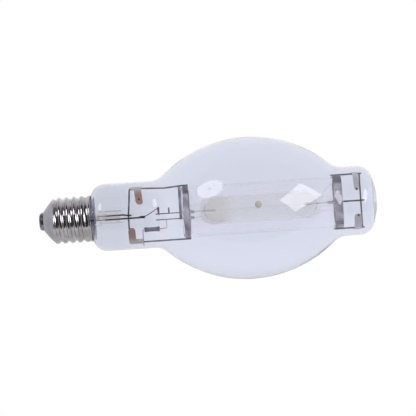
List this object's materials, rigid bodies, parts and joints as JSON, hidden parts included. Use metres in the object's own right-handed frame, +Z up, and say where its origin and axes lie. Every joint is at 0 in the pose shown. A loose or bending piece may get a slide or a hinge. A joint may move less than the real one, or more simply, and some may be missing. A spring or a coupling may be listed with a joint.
{
  "type": "metal halide lamp",
  "caption": "Clear shrouded high-intensity discharge lamp: elliptical bulb with a tubular neck and dome, screw cap, and an arc tube held in a wire frame.",
  "frame": {"origin": "centre of the flat ring of the centre contact, where the lamp's axis meets the contact plane", "axes": "+X along the lamp axis from the contact to the dome, +Z up in the plane of the wire frame, -Y towards the tip-off of the arc tube and the viewer"},
  "size_m": [0.286, 0.1202, 0.1202],
  "materials": {
    "contact_metal": "dark, tarnished",
    "solder": "dull solder",
    "insulator": "glazed",
    "shell_metal": "nickel plated brass",
    "cement": "capping cement",
    "outer_glass": "clear",
    "stem_glass": "clear",
    "lead_wire": "drawn wire",
    "frame_wire": "bright drawn wire",
    "strap_steel": "bright strip",
    "neck_spring_steel": "heat-browned spring strip",
    "dome_spring_steel": "bright spring strip",
    "quartz": "clear fused quartz",
    "foil_metal": "thin foil",
    "tungsten": "dark refractory metal",
    "link_metal": "browned ribbon",
    "bimetal": "plain strip",
    "resistor_ceramic": "grey-violet coating",
    "resistor_cap_metal": "pressed cap",
    "resistor_wire": "copper-coloured wire"
  },
  "bodies": {
    "root": {"centre_contact": "contact_metal", "contact_solder": "solder", "cap_insulator": "insulator", "screw_shell": "shell_metal", "cap_cement": "cement", "outer_envelope": "outer_glass", "glass_stem": "stem_glass", "centre_lead": "lead_wire", "shell_lead": "lead_wire", "side_solder": "solder", "live_post": "frame_wire", "frame_post": "frame_wire", "stem_frame_wire": "frame_wire", "stem_strap": "strap_steel", "dome_strap": "strap_steel", "dome_wire_upper": "frame_wire", "dome_wire_lower": "frame_wire", "dome_cross_wire": "frame_wire", "neck_spring_upper": "neck_spring_steel", "neck_spring_lower": "neck_spring_steel", "dome_spring_upper": "dome_spring_steel", "dome_spring_lower": "dome_spring_steel", "quartz_shroud": "quartz", "arc_tube": "quartz", "stem_seal_foil": "foil_metal", "probe_seal_foil": "foil_metal", "dome_seal_foil": "foil_metal", "stem_electrode": "tungsten", "dome_electrode": "tungsten", "starting_probe": "tungsten", "stem_arc_lead": "lead_wire", "probe_lead": "lead_wire", "dome_lead": "frame_wire", "pinch_clip": "strap_steel", "live_jumper": "lead_wire", "live_ribbon": "link_metal", "bimetal_strip": "bimetal", "resistor_body": "resistor_ceramic", "resistor_cap_left": "resistor_cap_metal", "resistor_cap_right": "resistor_cap_metal", "resistor_lead_left": "resistor_wire", "resistor_lead_right": "resistor_wire", "return_wire": "lead_wire"}
  },
  "joints": []
}
